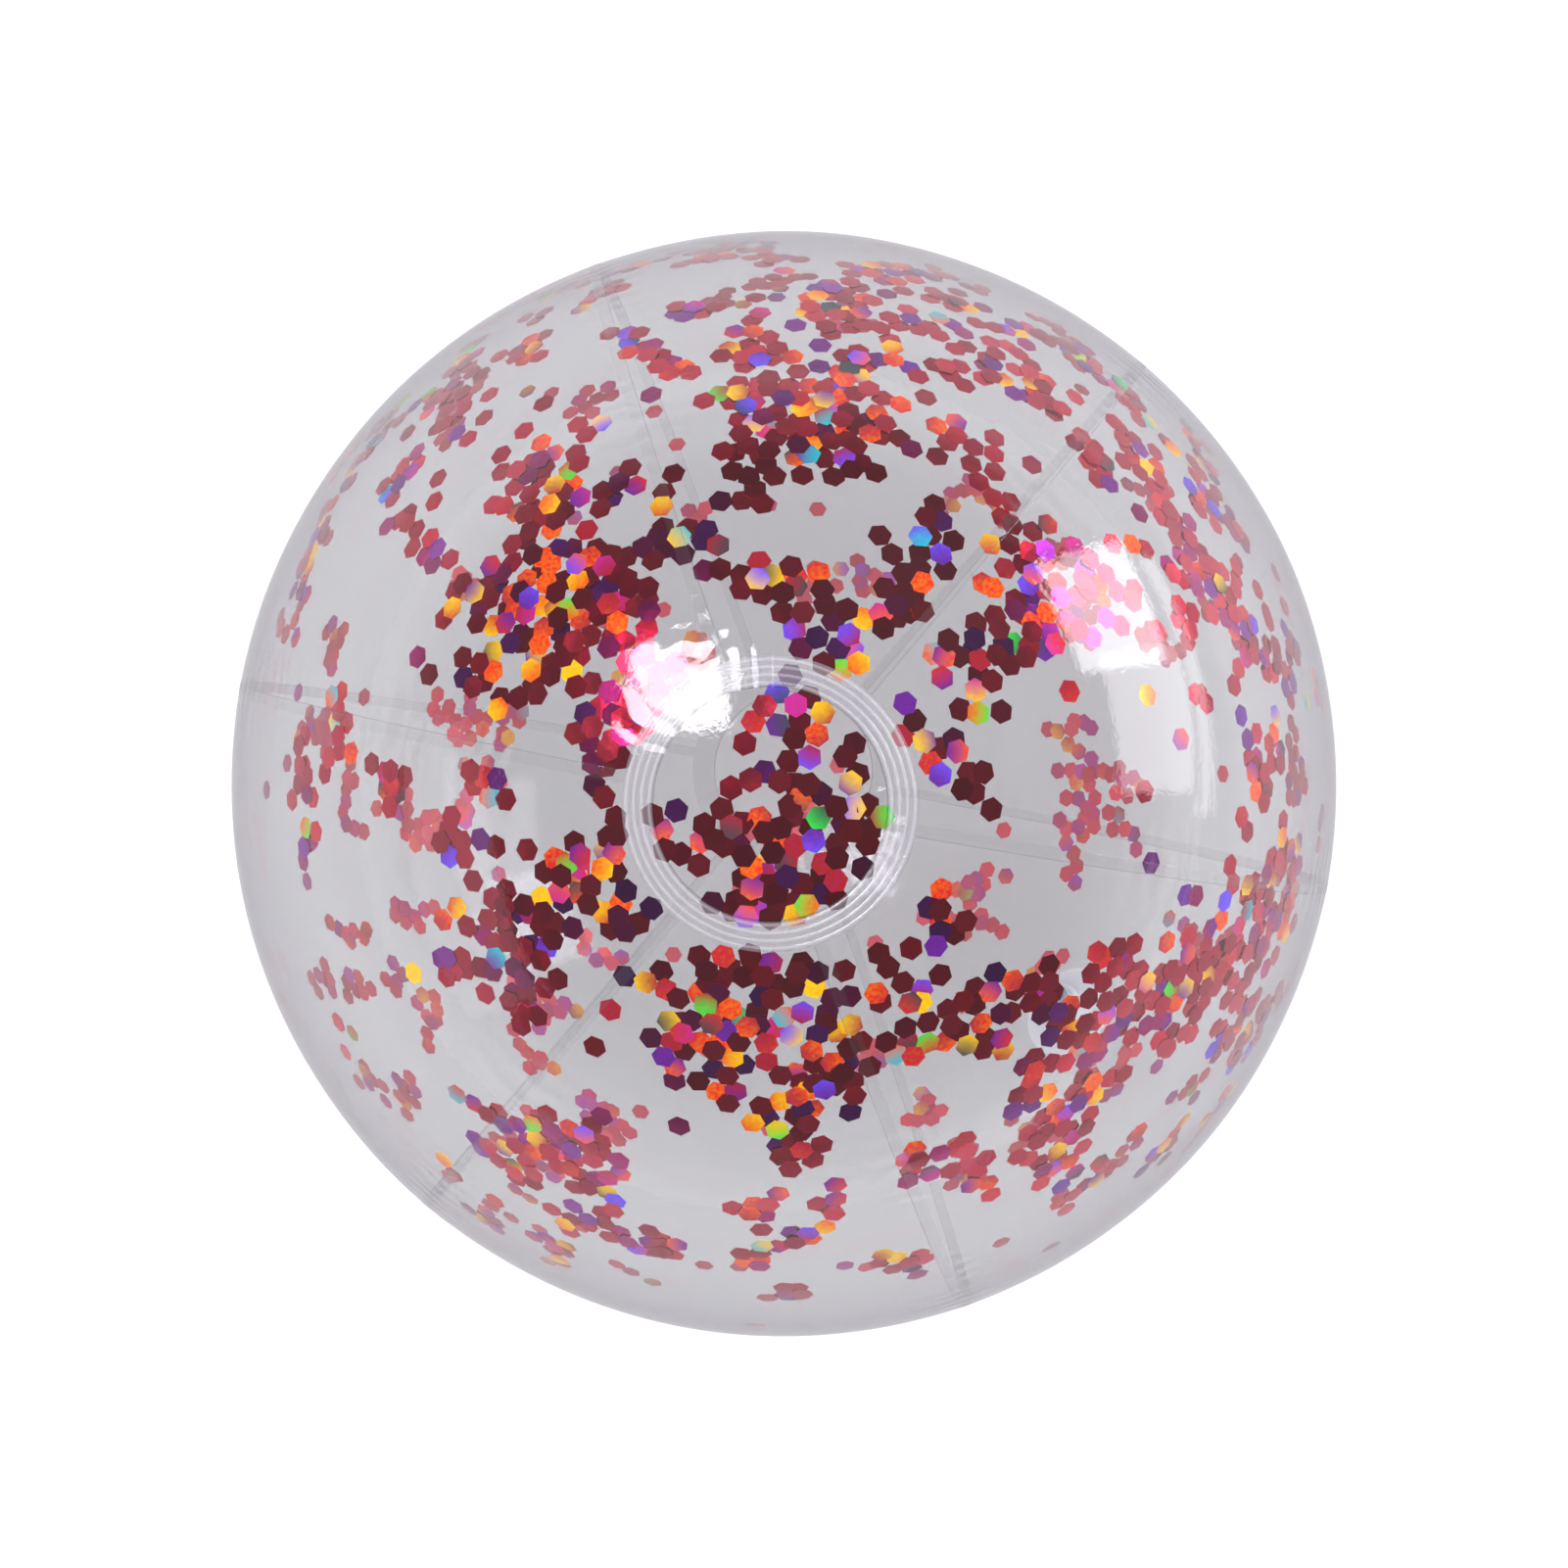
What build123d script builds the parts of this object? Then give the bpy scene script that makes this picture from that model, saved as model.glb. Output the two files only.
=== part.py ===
from build123d import *
import math
import os
import random

# A clear inflatable beach ball with loose hexagonal confetti sealed inside it.
# Origin at the centre of the inflated ball, +Z through the centre of the top end disc.
# Six film gores run from pole to pole and are lap-welded along their long edges; a round
# end disc is welded over each pole. One gore carries a push-in air valve. Millimetres.

# The inflated ball
BALL_R = 150.0  # outer surface of the gores
FILM = 0.25  # gauge of the PVC film
GORES = 6
GORE_TURN = 360.0 / GORES
GORE_END = 10.0  # polar angle where each gore stops, underneath the end disc
DISC_EDGE = 12.75  # polar angle of the end disc's rim
LAP_WIDTH = 3.0  # width of a lap seam, centred on the line between two gores
LAP_END = 12.85  # polar angle where a lap stops, just clear of the end disc's rim
WELD_SINK = 0.1  # how far two welded films are melted into each other

# Concentric ridges that the welding ring presses into each end disc
RIDGES = 4
RIDGE_FIRST = 10.35  # polar angle of the innermost ridge
RIDGE_STEP = 0.68
RIDGE_WIDTH = 1.1
RIDGE_HEIGHT = 0.22

# The air valve, on the middle of one gore. Radii are from the valve's own axis, and
# levels are distances from the ball's centre along that axis.
VALVE_AZIMUTH = -90.0
VALVE_POLAR = 130.0
VALVE_GORE = 5
HOLE_R = 8.0
FLANGE_R = 15.0
FLANGE_T = 0.6
STEM_BORE_R = 3.3
STEM_R = 5.0
STEM_BASE = 141.0
STEM_MOUTH = 151.1
LIP_R = 6.0
LIP_T = 1.5
LIP_ROUND = 0.4
WEB_T = 0.45
WEB_TOP = 149.25
WEB_FOOT = 142.5
WEB_INTO_FLANGE = 0.2
PLUG_GAP = 0.05
PLUG_HEAD_R = 5.8
PLUG_HEAD_T = 1.5
PLUG_NOSE_TOP_R = 3.2
PLUG_NOSE_TIP_R = 2.1
PLUG_NOSE_LENGTH = 4.0
PLUG_DIMPLE_R = 1.2
PLUG_DIMPLE_DEPTH = 3.6
PLUG_HINGE_R = 7.2  # distance of the living hinge from the valve's axis
TAB_R = 2.2
TAB_REACH = 6.8
TAB_T = 1.0
TAB_LIFT = 0.3
TETHER_T = 0.5
TETHER_WIDTH = 3.0
TETHER_FOOT = 150.4
TETHER_BEND_R = 0.8
FLAP_R = 4.6
FLAP_T = 0.3
FLAP_GAP = 0.05
FLAP_EDGE = 3.65  # where the moving part of the check flap ends
FLAP_ANCHOR_EDGE = 3.95  # where its welded strip begins
FLAP_ANCHOR_R = 4.9

# Confetti: flat hexagons of metallised film that cling to the inside of the ball. The
# ball holds about two thousand, and one in every SHARE of them is modelled here
FLAKE_FLATS = 5.0
FLAKE_T = 0.1
CLING_GAP = 0.1  # between the wall and the corners of a flake that clings to it
FLAKE_CLEARANCE = 6.0  # from one modelled flake's centre to the next one's
VALVE_CLEARANCE = 20.0  # no flake is centred closer than this to the valve's axis
SHARE = 7
LOOSE_FLAKES = 260  # single flakes scattered over the whole wall
SEED = 7
MOST_TRIES = 200

# Drifts of flakes: azimuth, polar angle, number of flakes
DRIFTS = [
    # upper half, around the top disc and out to the waist
    (72, 43, 22), (80, 35, 24), (75, 28, 20), (93, 31, 26), (90, 24, 22), (99, 43, 14),
    (101, 27, 10), (66, 31, 6), (45, 27, 7), (45, 19, 12), (49, 45, 26), (52, 51, 14),
    (32, 42, 22), (38, 34, 18), (26, 38, 16), (36, 55, 22), (44, 62, 16), (19, 55, 22),
    (10, 51, 14), (29, 62, 14), (107, 17, 20), (90, 15, 8), (-31, 15, 9), (-45, 18, 3),
    (17, 18, 11), (3, 23, 11), (-12, 26, 18), (-8, 32, 10), (-22, 25, 14), (-16, 33, 8),
    (137, 7, 8), (-30, 5, 13), (-67, 8, 10), (-145, 5, 15), (-165, 8, 8), (-97, 9, 10),
    (28, 9, 5), (-163, 18, 12), (-147, 18, 14), (-155, 24, 12), (-137, 25, 20),
    (-127, 28, 10), (-133, 32, 10), (-150, 14, 6), (-109, 20, 7), (-103, 26, 9),
    (-91, 29, 20), (-81, 34, 16), (-92, 37, 20), (-78, 44, 18), (-112, 36, 12),
    (-94, 46, 22), (-68, 46, 24), (-82, 54, 24), (-103, 50, 18), (-70, 56, 20),
    (-90, 62, 16), (-78, 66, 12), (-60, 62, 12), (150, 28, 20), (150, 21, 12),
    (163, 27, 12), (172, 28, 8), (163, 17, 11), (155, 34, 4), (124, 43, 9), (125, 36, 9),
    (136, 50, 6), (-179, 46, 18), (-170, 44, 20), (-161, 50, 14), (-150, 48, 8),
    (-170, 60, 14), (-138, 41, 18), (-143, 48, 8), (-121, 50, 10), (-135, 58, 10),
    (-35, 57, 18), (-47, 53, 18), (-57, 56, 12), (-24, 53, 14), (-15, 52, 16),
    (-3, 51, 18), (-15, 62, 12), (-38, 68, 14), (4, 60, 14), (86, 63, 20), (78, 60, 14),
    (92, 54, 10), (104, 61, 12), (112, 56, 8), (66, 59, 8), (55, 64, 18), (12, 33, 10),
    (8, 41, 14), (20, 64, 10),
    # lower half
    (139, 128, 16), (153, 110, 14), (158, 118, 12), (122, 137, 18), (141, 137, 10),
    (130, 118, 8), (165, 104, 12), (-48, 140, 22), (-62, 140, 20), (-11, 132, 10),
    (-22, 133, 16), (-34, 126, 10), (-28, 116, 10), (176, 148, 10), (63, 144, 8),
    (28, 155, 8), (12, 153, 6), (175, 131, 14), (-167, 128, 12), (-172, 116, 12),
    (-97, 152, 12), (7, 136, 16), (-160, 174, 16), (122, 108, 14), (105, 126, 8),
    (110, 112, 10), (-110, 119, 24), (-121, 136, 10), (-70, 118, 18), (33, 117, 16),
    (44, 109, 12), (61, 121, 10), (9, 98, 10), (-50, 104, 16), (82, 106, 12),
]
DRIFT_REACH = 0.65  # a drift's radius in flake widths, times the root of its number

os.makedirs("parts", exist_ok=True)


def direction(azimuth, polar):
    """The unit vector at an azimuth from +X and a polar angle from +Z."""
    a, p = math.radians(azimuth), math.radians(polar)
    return Vector(math.sin(p) * math.cos(a), math.sin(p) * math.sin(a), math.cos(p))


def meridian(azimuth):
    """The half-plane through +Z at an azimuth: local x is outward, local y is up."""
    return Plane(
        origin=(0, 0, 0),
        x_dir=direction(azimuth, 90),
        z_dir=direction(azimuth - 90, 90),
    )


def film_band(inner, outer, start, end):
    """A band of a meridian section between two radii and two polar angles."""
    with BuildSketch() as band:
        with BuildLine():
            outside = CenterArc((0, 0), outer, 90 - end, end - start)
            inside = CenterArc((0, 0), inner, 90 - end, end - start)
            Line(inside @ 0, outside @ 0)
            Line(inside @ 1, outside @ 1)
        make_face()
    return band.sketch


def save(part, name):
    """Label a finished piece and write its STEP file."""
    part.label = name
    export_step(part, f"parts/{name}.step")


# ---------------------------------------------------------------- valve directions
VALVE_OUT = direction(VALVE_AZIMUTH, VALVE_POLAR)
VALVE_SIDE = direction(VALVE_AZIMUTH, VALVE_POLAR - 90)  # towards the plug's hinge
VALVE_SECTION = Plane(
    origin=(0, 0, 0), x_dir=VALVE_SIDE, z_dir=VALVE_SIDE.cross(VALVE_OUT)
)
VALVE_AXIS = Axis((0, 0, 0), VALVE_OUT)


def across_valve(level):
    """The plane across the valve's axis at a level, with local x towards the hinge."""
    return Plane(origin=VALVE_OUT * level, x_dir=VALVE_SIDE, z_dir=VALVE_OUT)


# ---------------------------------------------------------------- gores
for number in range(1, GORES + 1):
    first = (number - 1) * GORE_TURN
    seam = first + GORE_TURN

    # The lap strip follows the seam at a constant width: a thin sector of shell on both
    # sides of the seam, trimmed by a slab
    with BuildPart() as lap:
        with BuildSketch(meridian(seam - GORE_TURN / 6)):
            add(film_band(BALL_R - WELD_SINK, BALL_R + FILM, LAP_END, 180 - LAP_END))
        revolve(axis=Axis.Z, revolution_arc=GORE_TURN / 3)
        with BuildSketch(meridian(seam)):
            with Locations((BALL_R, 0)):
                Rectangle(2 * BALL_R, 3 * BALL_R)
        extrude(amount=LAP_WIDTH / 2, both=True, mode=Mode.INTERSECT)

    with BuildPart() as panel:
        with BuildSketch(meridian(first)):
            add(film_band(BALL_R - FILM, BALL_R, GORE_END, 180 - GORE_END))
        revolve(axis=Axis.Z, revolution_arc=GORE_TURN)
        add(lap.part)
        if number == VALVE_GORE:
            with BuildSketch(across_valve(STEM_BASE)):
                Circle(HOLE_R)
            extrude(amount=BALL_R - STEM_BASE + LIP_T, mode=Mode.SUBTRACT)
    save(panel.part, f"panel_{number}")

# ---------------------------------------------------------------- end discs
with BuildPart() as top_disc:
    with BuildSketch(meridian(0)):
        add(film_band(BALL_R - WELD_SINK, BALL_R + FILM, 0, DISC_EDGE))
        for ridge in range(RIDGES):
            polar = RIDGE_FIRST + ridge * RIDGE_STEP
            with PolarLocations(BALL_R + FILM, 1, start_angle=90 - polar):
                Ellipse(RIDGE_HEIGHT, RIDGE_WIDTH / 2)
    revolve(axis=Axis.Z)
save(top_disc.part, "top_disc")

with BuildPart() as bottom_disc:
    add(top_disc.part)
    mirror(about=Plane.XY, mode=Mode.REPLACE)
save(bottom_disc.part, "bottom_disc")

# ---------------------------------------------------------------- valve
# A soft flange welded to the inside of the gore, around the hole
FLANGE_INNER = BALL_R - FILM - FLANGE_T
FLANGE_OUTER = BALL_R - FILM + WELD_SINK
FLANGE_EDGE = math.degrees(math.asin(FLANGE_R / BALL_R))
with BuildPart() as valve_flange:
    with BuildSketch(VALVE_SECTION):
        add(film_band(FLANGE_INNER, FLANGE_OUTER, 0, FLANGE_EDGE))
        with Locations((0, BALL_R)):
            Rectangle(2 * HOLE_R, FLANGE_R, mode=Mode.SUBTRACT)
    revolve(axis=VALVE_AXIS)
save(valve_flange.part, "valve_flange")

# A thin web that joins the flange to the stem, and turns inside out as the stem moves
with BuildPart() as valve_web:
    with BuildSketch(VALVE_SECTION):
        with BuildLine():
            bend = Bezier(
                (HOLE_R + WEB_INTO_FLANGE, WEB_TOP),
                (LIP_R + LIP_ROUND, WEB_TOP),
                (LIP_R + 2 * LIP_ROUND, WEB_FOOT),
                (STEM_R + PLUG_GAP, WEB_FOOT),
            )
        trace(bend, line_width=WEB_T)
    revolve(axis=VALVE_AXIS)
save(valve_web.part, "valve_web")

# The stem: a short tube with a lip, pushed in until its lip is level with the ball
with BuildPart() as valve_stem:
    with BuildSketch(VALVE_SECTION) as stem_section:
        with BuildLine():
            Polyline(
                (STEM_BORE_R, STEM_BASE),
                (STEM_R, STEM_BASE),
                (STEM_R, STEM_MOUTH - LIP_T),
                (LIP_R, STEM_MOUTH - LIP_T),
                (LIP_R, STEM_MOUTH),
                (STEM_BORE_R, STEM_MOUTH),
                close=True,
            )
        make_face()
        fillet(stem_section.vertices().group_by(Axis.X)[-1], LIP_ROUND)
    revolve(axis=VALVE_AXIS)
save(valve_stem.part, "valve_stem")

# The plug: a round head with a tapered hollow nose and a tab to pull it out by
PLUG_SEAT = STEM_MOUTH + PLUG_GAP
PLUG_TOP = PLUG_SEAT + PLUG_HEAD_T
PLUG_TIP = STEM_MOUTH - PLUG_NOSE_LENGTH
with BuildPart() as valve_plug:
    with BuildSketch(VALVE_SECTION) as plug_section:
        with BuildLine():
            Polyline(
                (0, PLUG_TIP),
                (PLUG_NOSE_TIP_R, PLUG_TIP),
                (PLUG_NOSE_TOP_R, PLUG_SEAT),
                (PLUG_HEAD_R, PLUG_SEAT),
                (PLUG_HEAD_R, PLUG_TOP),
                (PLUG_DIMPLE_R, PLUG_TOP),
                (PLUG_DIMPLE_R, PLUG_TOP - PLUG_DIMPLE_DEPTH),
                (0, PLUG_TOP - PLUG_DIMPLE_DEPTH),
                close=True,
            )
        make_face()
        fillet(plug_section.vertices().group_by(Axis.X)[-1], LIP_ROUND)
    revolve(axis=VALVE_AXIS)
    with BuildSketch(across_valve(PLUG_SEAT + TAB_LIFT)):
        with Locations((-TAB_REACH, 0)):
            Circle(TAB_R)
        with Locations((-TAB_REACH + TAB_R, 0)):
            Rectangle(2 * TAB_R, 2 * TAB_R)
    extrude(amount=TAB_T)
save(valve_plug.part, "valve_plug")

# The strap that holds the plug to the lip of the stem: its loop is the living hinge
TETHER_TOP = TETHER_FOOT + 2 * TETHER_BEND_R
with BuildPart() as plug_tether:
    with BuildSketch(VALVE_SECTION):
        with BuildLine() as strap:
            Line((LIP_R - WELD_SINK, TETHER_FOOT), (PLUG_HINGE_R, TETHER_FOOT))
            CenterArc(
                (PLUG_HINGE_R, TETHER_FOOT + TETHER_BEND_R), TETHER_BEND_R, -90, 180
            )
            Line((PLUG_HINGE_R, TETHER_TOP), (PLUG_HEAD_R + PLUG_GAP, TETHER_TOP))
        trace(strap.line, line_width=TETHER_T)
    extrude(amount=TETHER_WIDTH / 2, both=True)
save(plug_tether.part, "plug_tether")

# The check flap: a film disc over the inner end of the stem, with one edge welded down
FLAP_TOP = STEM_BASE - FLAP_GAP
with BuildPart() as check_flap:
    with BuildSketch(across_valve(FLAP_TOP)):
        Circle(FLAP_R)
        with Locations((FLAP_EDGE + FLAP_R, 0)):
            Rectangle(2 * FLAP_R, 2 * FLAP_R, mode=Mode.SUBTRACT)
    extrude(amount=-FLAP_T)
save(check_flap.part, "check_flap")

with BuildPart() as flap_anchor:
    with BuildSketch(across_valve(STEM_BASE + FLAP_GAP)):
        Circle(FLAP_ANCHOR_R)
        with Locations((FLAP_ANCHOR_EDGE - FLAP_ANCHOR_R, 0)):
            Rectangle(2 * FLAP_ANCHOR_R, 2 * FLAP_ANCHOR_R, mode=Mode.SUBTRACT)
    extrude(amount=-(FLAP_T + 2 * FLAP_GAP))
save(flap_anchor.part, "flap_anchor")

# ---------------------------------------------------------------- confetti
FLAKE_R = FLAKE_FLATS / math.sqrt(3)  # from a flake's centre to its corners
FLAKE_FACE = math.sqrt((BALL_R - FILM - CLING_GAP) ** 2 - FLAKE_R**2)
FLAKE_TURN = 60.0  # a hexagon looks the same after this turn
rng = random.Random(SEED)
flakes = []  # the directions of the flakes' centres from the ball's centre


def apart(one, other):
    """Straight distance between two directions, at the flakes' distance from the centre."""
    return (one - other).length * FLAKE_FACE


def stepped(start, turn, distance):
    """The direction reached by walking over the wall from another one."""
    level = Vector(0, 0, 1).cross(start).normalized()
    rise = start.cross(level)
    heading = level * math.cos(turn) + rise * math.sin(turn)
    angle = distance / FLAKE_FACE
    return start * math.cos(angle) + heading * math.sin(angle)


def lay(centre):
    """Lay a flake where it is clear of the valve and of the flakes already there."""
    clear = apart(centre, VALVE_OUT) > VALVE_CLEARANCE and all(
        apart(centre, other) > FLAKE_CLEARANCE for other in flakes
    )
    if clear:
        flakes.append(centre)
    return clear


def lay_drift(azimuth, polar, number):
    """Lay the modelled share of one drift, spread over the drift's round patch."""
    middle = direction(azimuth, polar)
    reach = DRIFT_REACH * FLAKE_FLATS * math.sqrt(number)
    wanted = max(1, round(number / SHARE))
    for _ in range(MOST_TRIES):
        distance = reach * math.sqrt(rng.random())
        wanted -= lay(stepped(middle, rng.uniform(0, 2 * math.pi), distance))
        if wanted == 0:
            break


def scatter(number):
    """Scatter single flakes evenly over the whole wall."""
    while number > 0:
        polar = math.degrees(math.acos(rng.uniform(-1, 1)))
        number -= lay(direction(rng.uniform(-180, 180), polar))


for azimuth, polar, number in DRIFTS:
    lay_drift(azimuth, polar, number)
scatter(LOOSE_FLAKES // SHARE)


def gore_of(centre):
    """The number of the gore that a direction lies on."""
    azimuth = math.degrees(math.atan2(centre.Y, centre.X)) % 360
    return int(azimuth // GORE_TURN) + 1


for number in range(1, GORES + 1):
    level = Vector(0, 0, 1)
    planes = [
        Plane(
            origin=centre * FLAKE_FACE,
            x_dir=level.cross(centre).rotate(
                Axis((0, 0, 0), centre), rng.uniform(0, FLAKE_TURN)
            ),
            z_dir=centre,
        )
        for centre in flakes
        if gore_of(centre) == number
    ]
    with BuildPart() as confetti:
        with BuildSketch(*planes):
            RegularPolygon(FLAKE_R, 6)
        extrude(amount=-FLAKE_T)
    save(confetti.part, f"confetti_{number}")
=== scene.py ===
import math
import random

import bmesh
import bpy
import numpy as np
from mathutils import Matrix, Vector, noise

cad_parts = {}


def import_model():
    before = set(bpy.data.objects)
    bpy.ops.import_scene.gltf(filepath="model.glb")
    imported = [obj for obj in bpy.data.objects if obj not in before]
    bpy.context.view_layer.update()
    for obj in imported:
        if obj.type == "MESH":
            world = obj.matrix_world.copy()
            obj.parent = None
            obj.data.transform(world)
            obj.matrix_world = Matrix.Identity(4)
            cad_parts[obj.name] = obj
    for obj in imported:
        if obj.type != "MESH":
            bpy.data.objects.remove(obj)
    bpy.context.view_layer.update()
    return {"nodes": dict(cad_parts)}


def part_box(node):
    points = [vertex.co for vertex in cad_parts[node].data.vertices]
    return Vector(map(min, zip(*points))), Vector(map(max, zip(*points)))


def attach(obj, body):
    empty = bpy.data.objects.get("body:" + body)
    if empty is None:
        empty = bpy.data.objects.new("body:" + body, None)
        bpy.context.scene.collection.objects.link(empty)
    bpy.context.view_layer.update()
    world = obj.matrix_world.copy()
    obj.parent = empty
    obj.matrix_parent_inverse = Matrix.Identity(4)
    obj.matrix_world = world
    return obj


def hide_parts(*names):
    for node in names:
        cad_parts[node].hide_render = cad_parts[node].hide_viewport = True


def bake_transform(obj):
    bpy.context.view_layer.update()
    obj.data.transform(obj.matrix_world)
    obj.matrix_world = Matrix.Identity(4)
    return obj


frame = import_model()

# The looks of a clear inflatable beach ball full of holographic confetti. Metres.
MM = 0.001
GORES = 6
GORE_TURN = math.tau / GORES
BALL_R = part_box("panel_2")[1].y
FILM = 0.25 * MM
GORE_END = math.radians(10)  # polar angle where a gore ends, under the end disc
DISC_EDGE = math.radians(12.75)
LAP_WIDTH = 3.0 * MM
FLOOR_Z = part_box("bottom_disc")[0].z

VALVE_POLAR = math.radians(130)
VALVE_OUT = Vector((0, -math.sin(VALVE_POLAR), math.cos(VALVE_POLAR)))
VALVE_SIDE = Vector((0, math.cos(VALVE_POLAR), math.sin(VALVE_POLAR)))
VALVE_GORE = 5
HOLE_R = 8.0 * MM


# ------------------------------------------------------------------ small helpers
def direction(azimuth, polar):
    """The unit vector at an azimuth from +X and a polar angle from +Z, in radians."""
    level = math.sin(polar)
    return Vector((level * math.cos(azimuth), level * math.sin(azimuth), math.cos(polar)))


def new_object(name, verts, faces, material, smooth=True):
    """A mesh object from points and faces, in the row frame."""
    mesh = bpy.data.meshes.new(name)
    mesh.from_pydata(verts, [], faces)
    mesh.validate()
    mesh.update()
    if smooth:
        mesh.shade_smooth()
    piece = bpy.data.objects.new(name, mesh)
    bpy.context.scene.collection.objects.link(piece)
    mesh.materials.append(material)
    return piece


SHARP = math.radians(60)


def crisp(piece):
    """Keep a shell's rims sharp, so that its broad faces are shaded by their own shape."""
    piece.data.set_sharp_from_angle(angle=SHARP)


def new_material(name):
    """A material with an empty node tree, and its tree."""
    material = bpy.data.materials.new(name)
    material.use_nodes = True
    tree = material.node_tree
    tree.nodes.clear()
    return material, tree


def node(tree, kind, **values):
    """A shader node with its settings and input values."""
    made = tree.nodes.new(kind)
    for key, value in values.items():
        if hasattr(made, key):
            setattr(made, key, value)
        else:
            made.inputs[key.replace("_", " ")].default_value = value
    return made


def ramp(tree, stops):
    """A colour ramp with its stops given as (position, grey)."""
    made = tree.nodes.new("ShaderNodeValToRGB")
    made.color_ramp.elements[0].position = stops[0][0]
    made.color_ramp.elements[1].position = stops[-1][0]
    for position, _ in stops[1:-1]:
        made.color_ramp.elements.new(position)
    for element, (_, grey) in zip(made.color_ramp.elements, stops):
        element.color = (grey, grey, grey, 1)
    return made


# ------------------------------------------------------------------ film
GLOSS = (0.60, 0.59, 0.62)
HAZE = (0.62, 0.60, 0.66)


def film_material(name, tint_and_painted_shade, head_on, roughness, grain, cloud):
    """Clear film: tinted transparency, whose tint is the film's own and, in the clear and
    disc films, also painted shade; gloss by Schlick's curve from its strength seen head on,
    a fine grain as (scale, height), and soft patches of haze as (least, most)."""
    material, tree = new_material(name)
    link = tree.links.new
    place = node(tree, "ShaderNodeTexCoord")
    peel = node(tree, "ShaderNodeTexNoise", Scale=grain[0], Detail=3.0)
    bump = node(tree, "ShaderNodeBump", Strength=1.0, Distance=grain[1])
    link(place.outputs["Object"], peel.inputs["Vector"])
    link(peel.outputs["Fac"], bump.inputs["Height"])
    clear = node(tree, "ShaderNodeBsdfTransparent", Color=(*tint_and_painted_shade, 1))
    haze = node(tree, "ShaderNodeBsdfDiffuse", Color=(*HAZE, 1))
    patches = node(tree, "ShaderNodeTexNoise", Scale=9.0, Detail=4.0)
    link(place.outputs["Object"], patches.inputs["Vector"])
    amount = node(tree, "ShaderNodeMapRange")
    amount.inputs["From Min"].default_value = 0.3
    amount.inputs["From Max"].default_value = 0.75
    amount.inputs["To Min"].default_value = cloud[0]
    amount.inputs["To Max"].default_value = cloud[1]
    link(patches.outputs["Fac"], amount.inputs["Value"])
    body = node(tree, "ShaderNodeMixShader")
    link(amount.outputs["Result"], body.inputs["Fac"])
    link(clear.outputs[0], body.inputs[1])
    link(haze.outputs[0], body.inputs[2])
    facing = node(tree, "ShaderNodeLayerWeight", Blend=0.5)
    curve = node(tree, "ShaderNodeMath", operation="POWER")
    curve.inputs[1].default_value = 5.0
    link(facing.outputs["Facing"], curve.inputs[0])
    schlick = node(tree, "ShaderNodeMath", operation="MULTIPLY_ADD")
    schlick.inputs[1].default_value = 1.0 - head_on
    schlick.inputs[2].default_value = head_on
    link(curve.outputs[0], schlick.inputs[0])
    gloss = node(tree, "ShaderNodeBsdfGlossy", Color=(*GLOSS, 1), Roughness=roughness)
    link(bump.outputs["Normal"], gloss.inputs["Normal"])
    surface = node(tree, "ShaderNodeMixShader")
    link(schlick.outputs[0], surface.inputs["Fac"])
    link(body.outputs[0], surface.inputs[1])
    link(gloss.outputs[0], surface.inputs[2])
    output = node(tree, "ShaderNodeOutputMaterial")
    link(surface.outputs[0], output.inputs["Surface"])
    return material


# The grey tint of the clear and disc films is partly their own and partly painted shade: it
# darkens what is seen through the ball, in place of the shadows that the film does not cast
clear_film = film_material(
    "clear_film", (0.872, 0.872, 0.879), 0.062, 0.035,
    (900.0, 0.02 * MM), (0.0, 0.006),
)
disc_film = film_material(
    "disc_film", (0.878, 0.877, 0.885), 0.062, 0.04,
    (900.0, 0.02 * MM), (0.0, 0.006),
)
lap_film = film_material(
    "lap_film", (0.985, 0.985, 0.985), 0.03, 0.06,
    (1500.0, 0.05 * MM), (0.004, 0.015),
)
seam_line = film_material(
    "seam_line", (0.80, 0.80, 0.81), 0.05, 0.12,
    (1500.0, 0.05 * MM), (0.02, 0.06),
)
weld_band = film_material(
    "weld_band", (0.93, 0.92, 0.93), 0.06, 0.09,
    (1500.0, 0.05 * MM), (0.06, 0.12),
)
weld_line = film_material(
    "weld_line", (0.97, 0.97, 0.975), 0.06, 0.15,
    (1500.0, 0.05 * MM), (0.13, 0.24),
)


# ------------------------------------------------------------------ the film's shape
def smooth_noise(point, scale, seed):
    """Soft noise from -1 to 1 over the ball's surface, on lumps of about this size."""
    return noise.noise(point / scale + Vector((seed, seed * 2.7, -seed)))


SEAM_PUCKER = 0.09 * MM
SEAM_REACH = 9.0 * MM
SEAM_WAVE = 6.5 * MM
RING_PUCKER = 0.05 * MM
RING_REACH = 11.0 * MM
RING_WAVES = 34
SWELL = 0.30 * MM
SWELL_SIZE = 60 * MM
SLACK = 0.3 * MM  # how far the film's outer surface lies inside the ball's full radius
OVER_FLANGE = (16.0 * MM, 23.0 * MM)  # where the film is flush with the flange, then free


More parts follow.
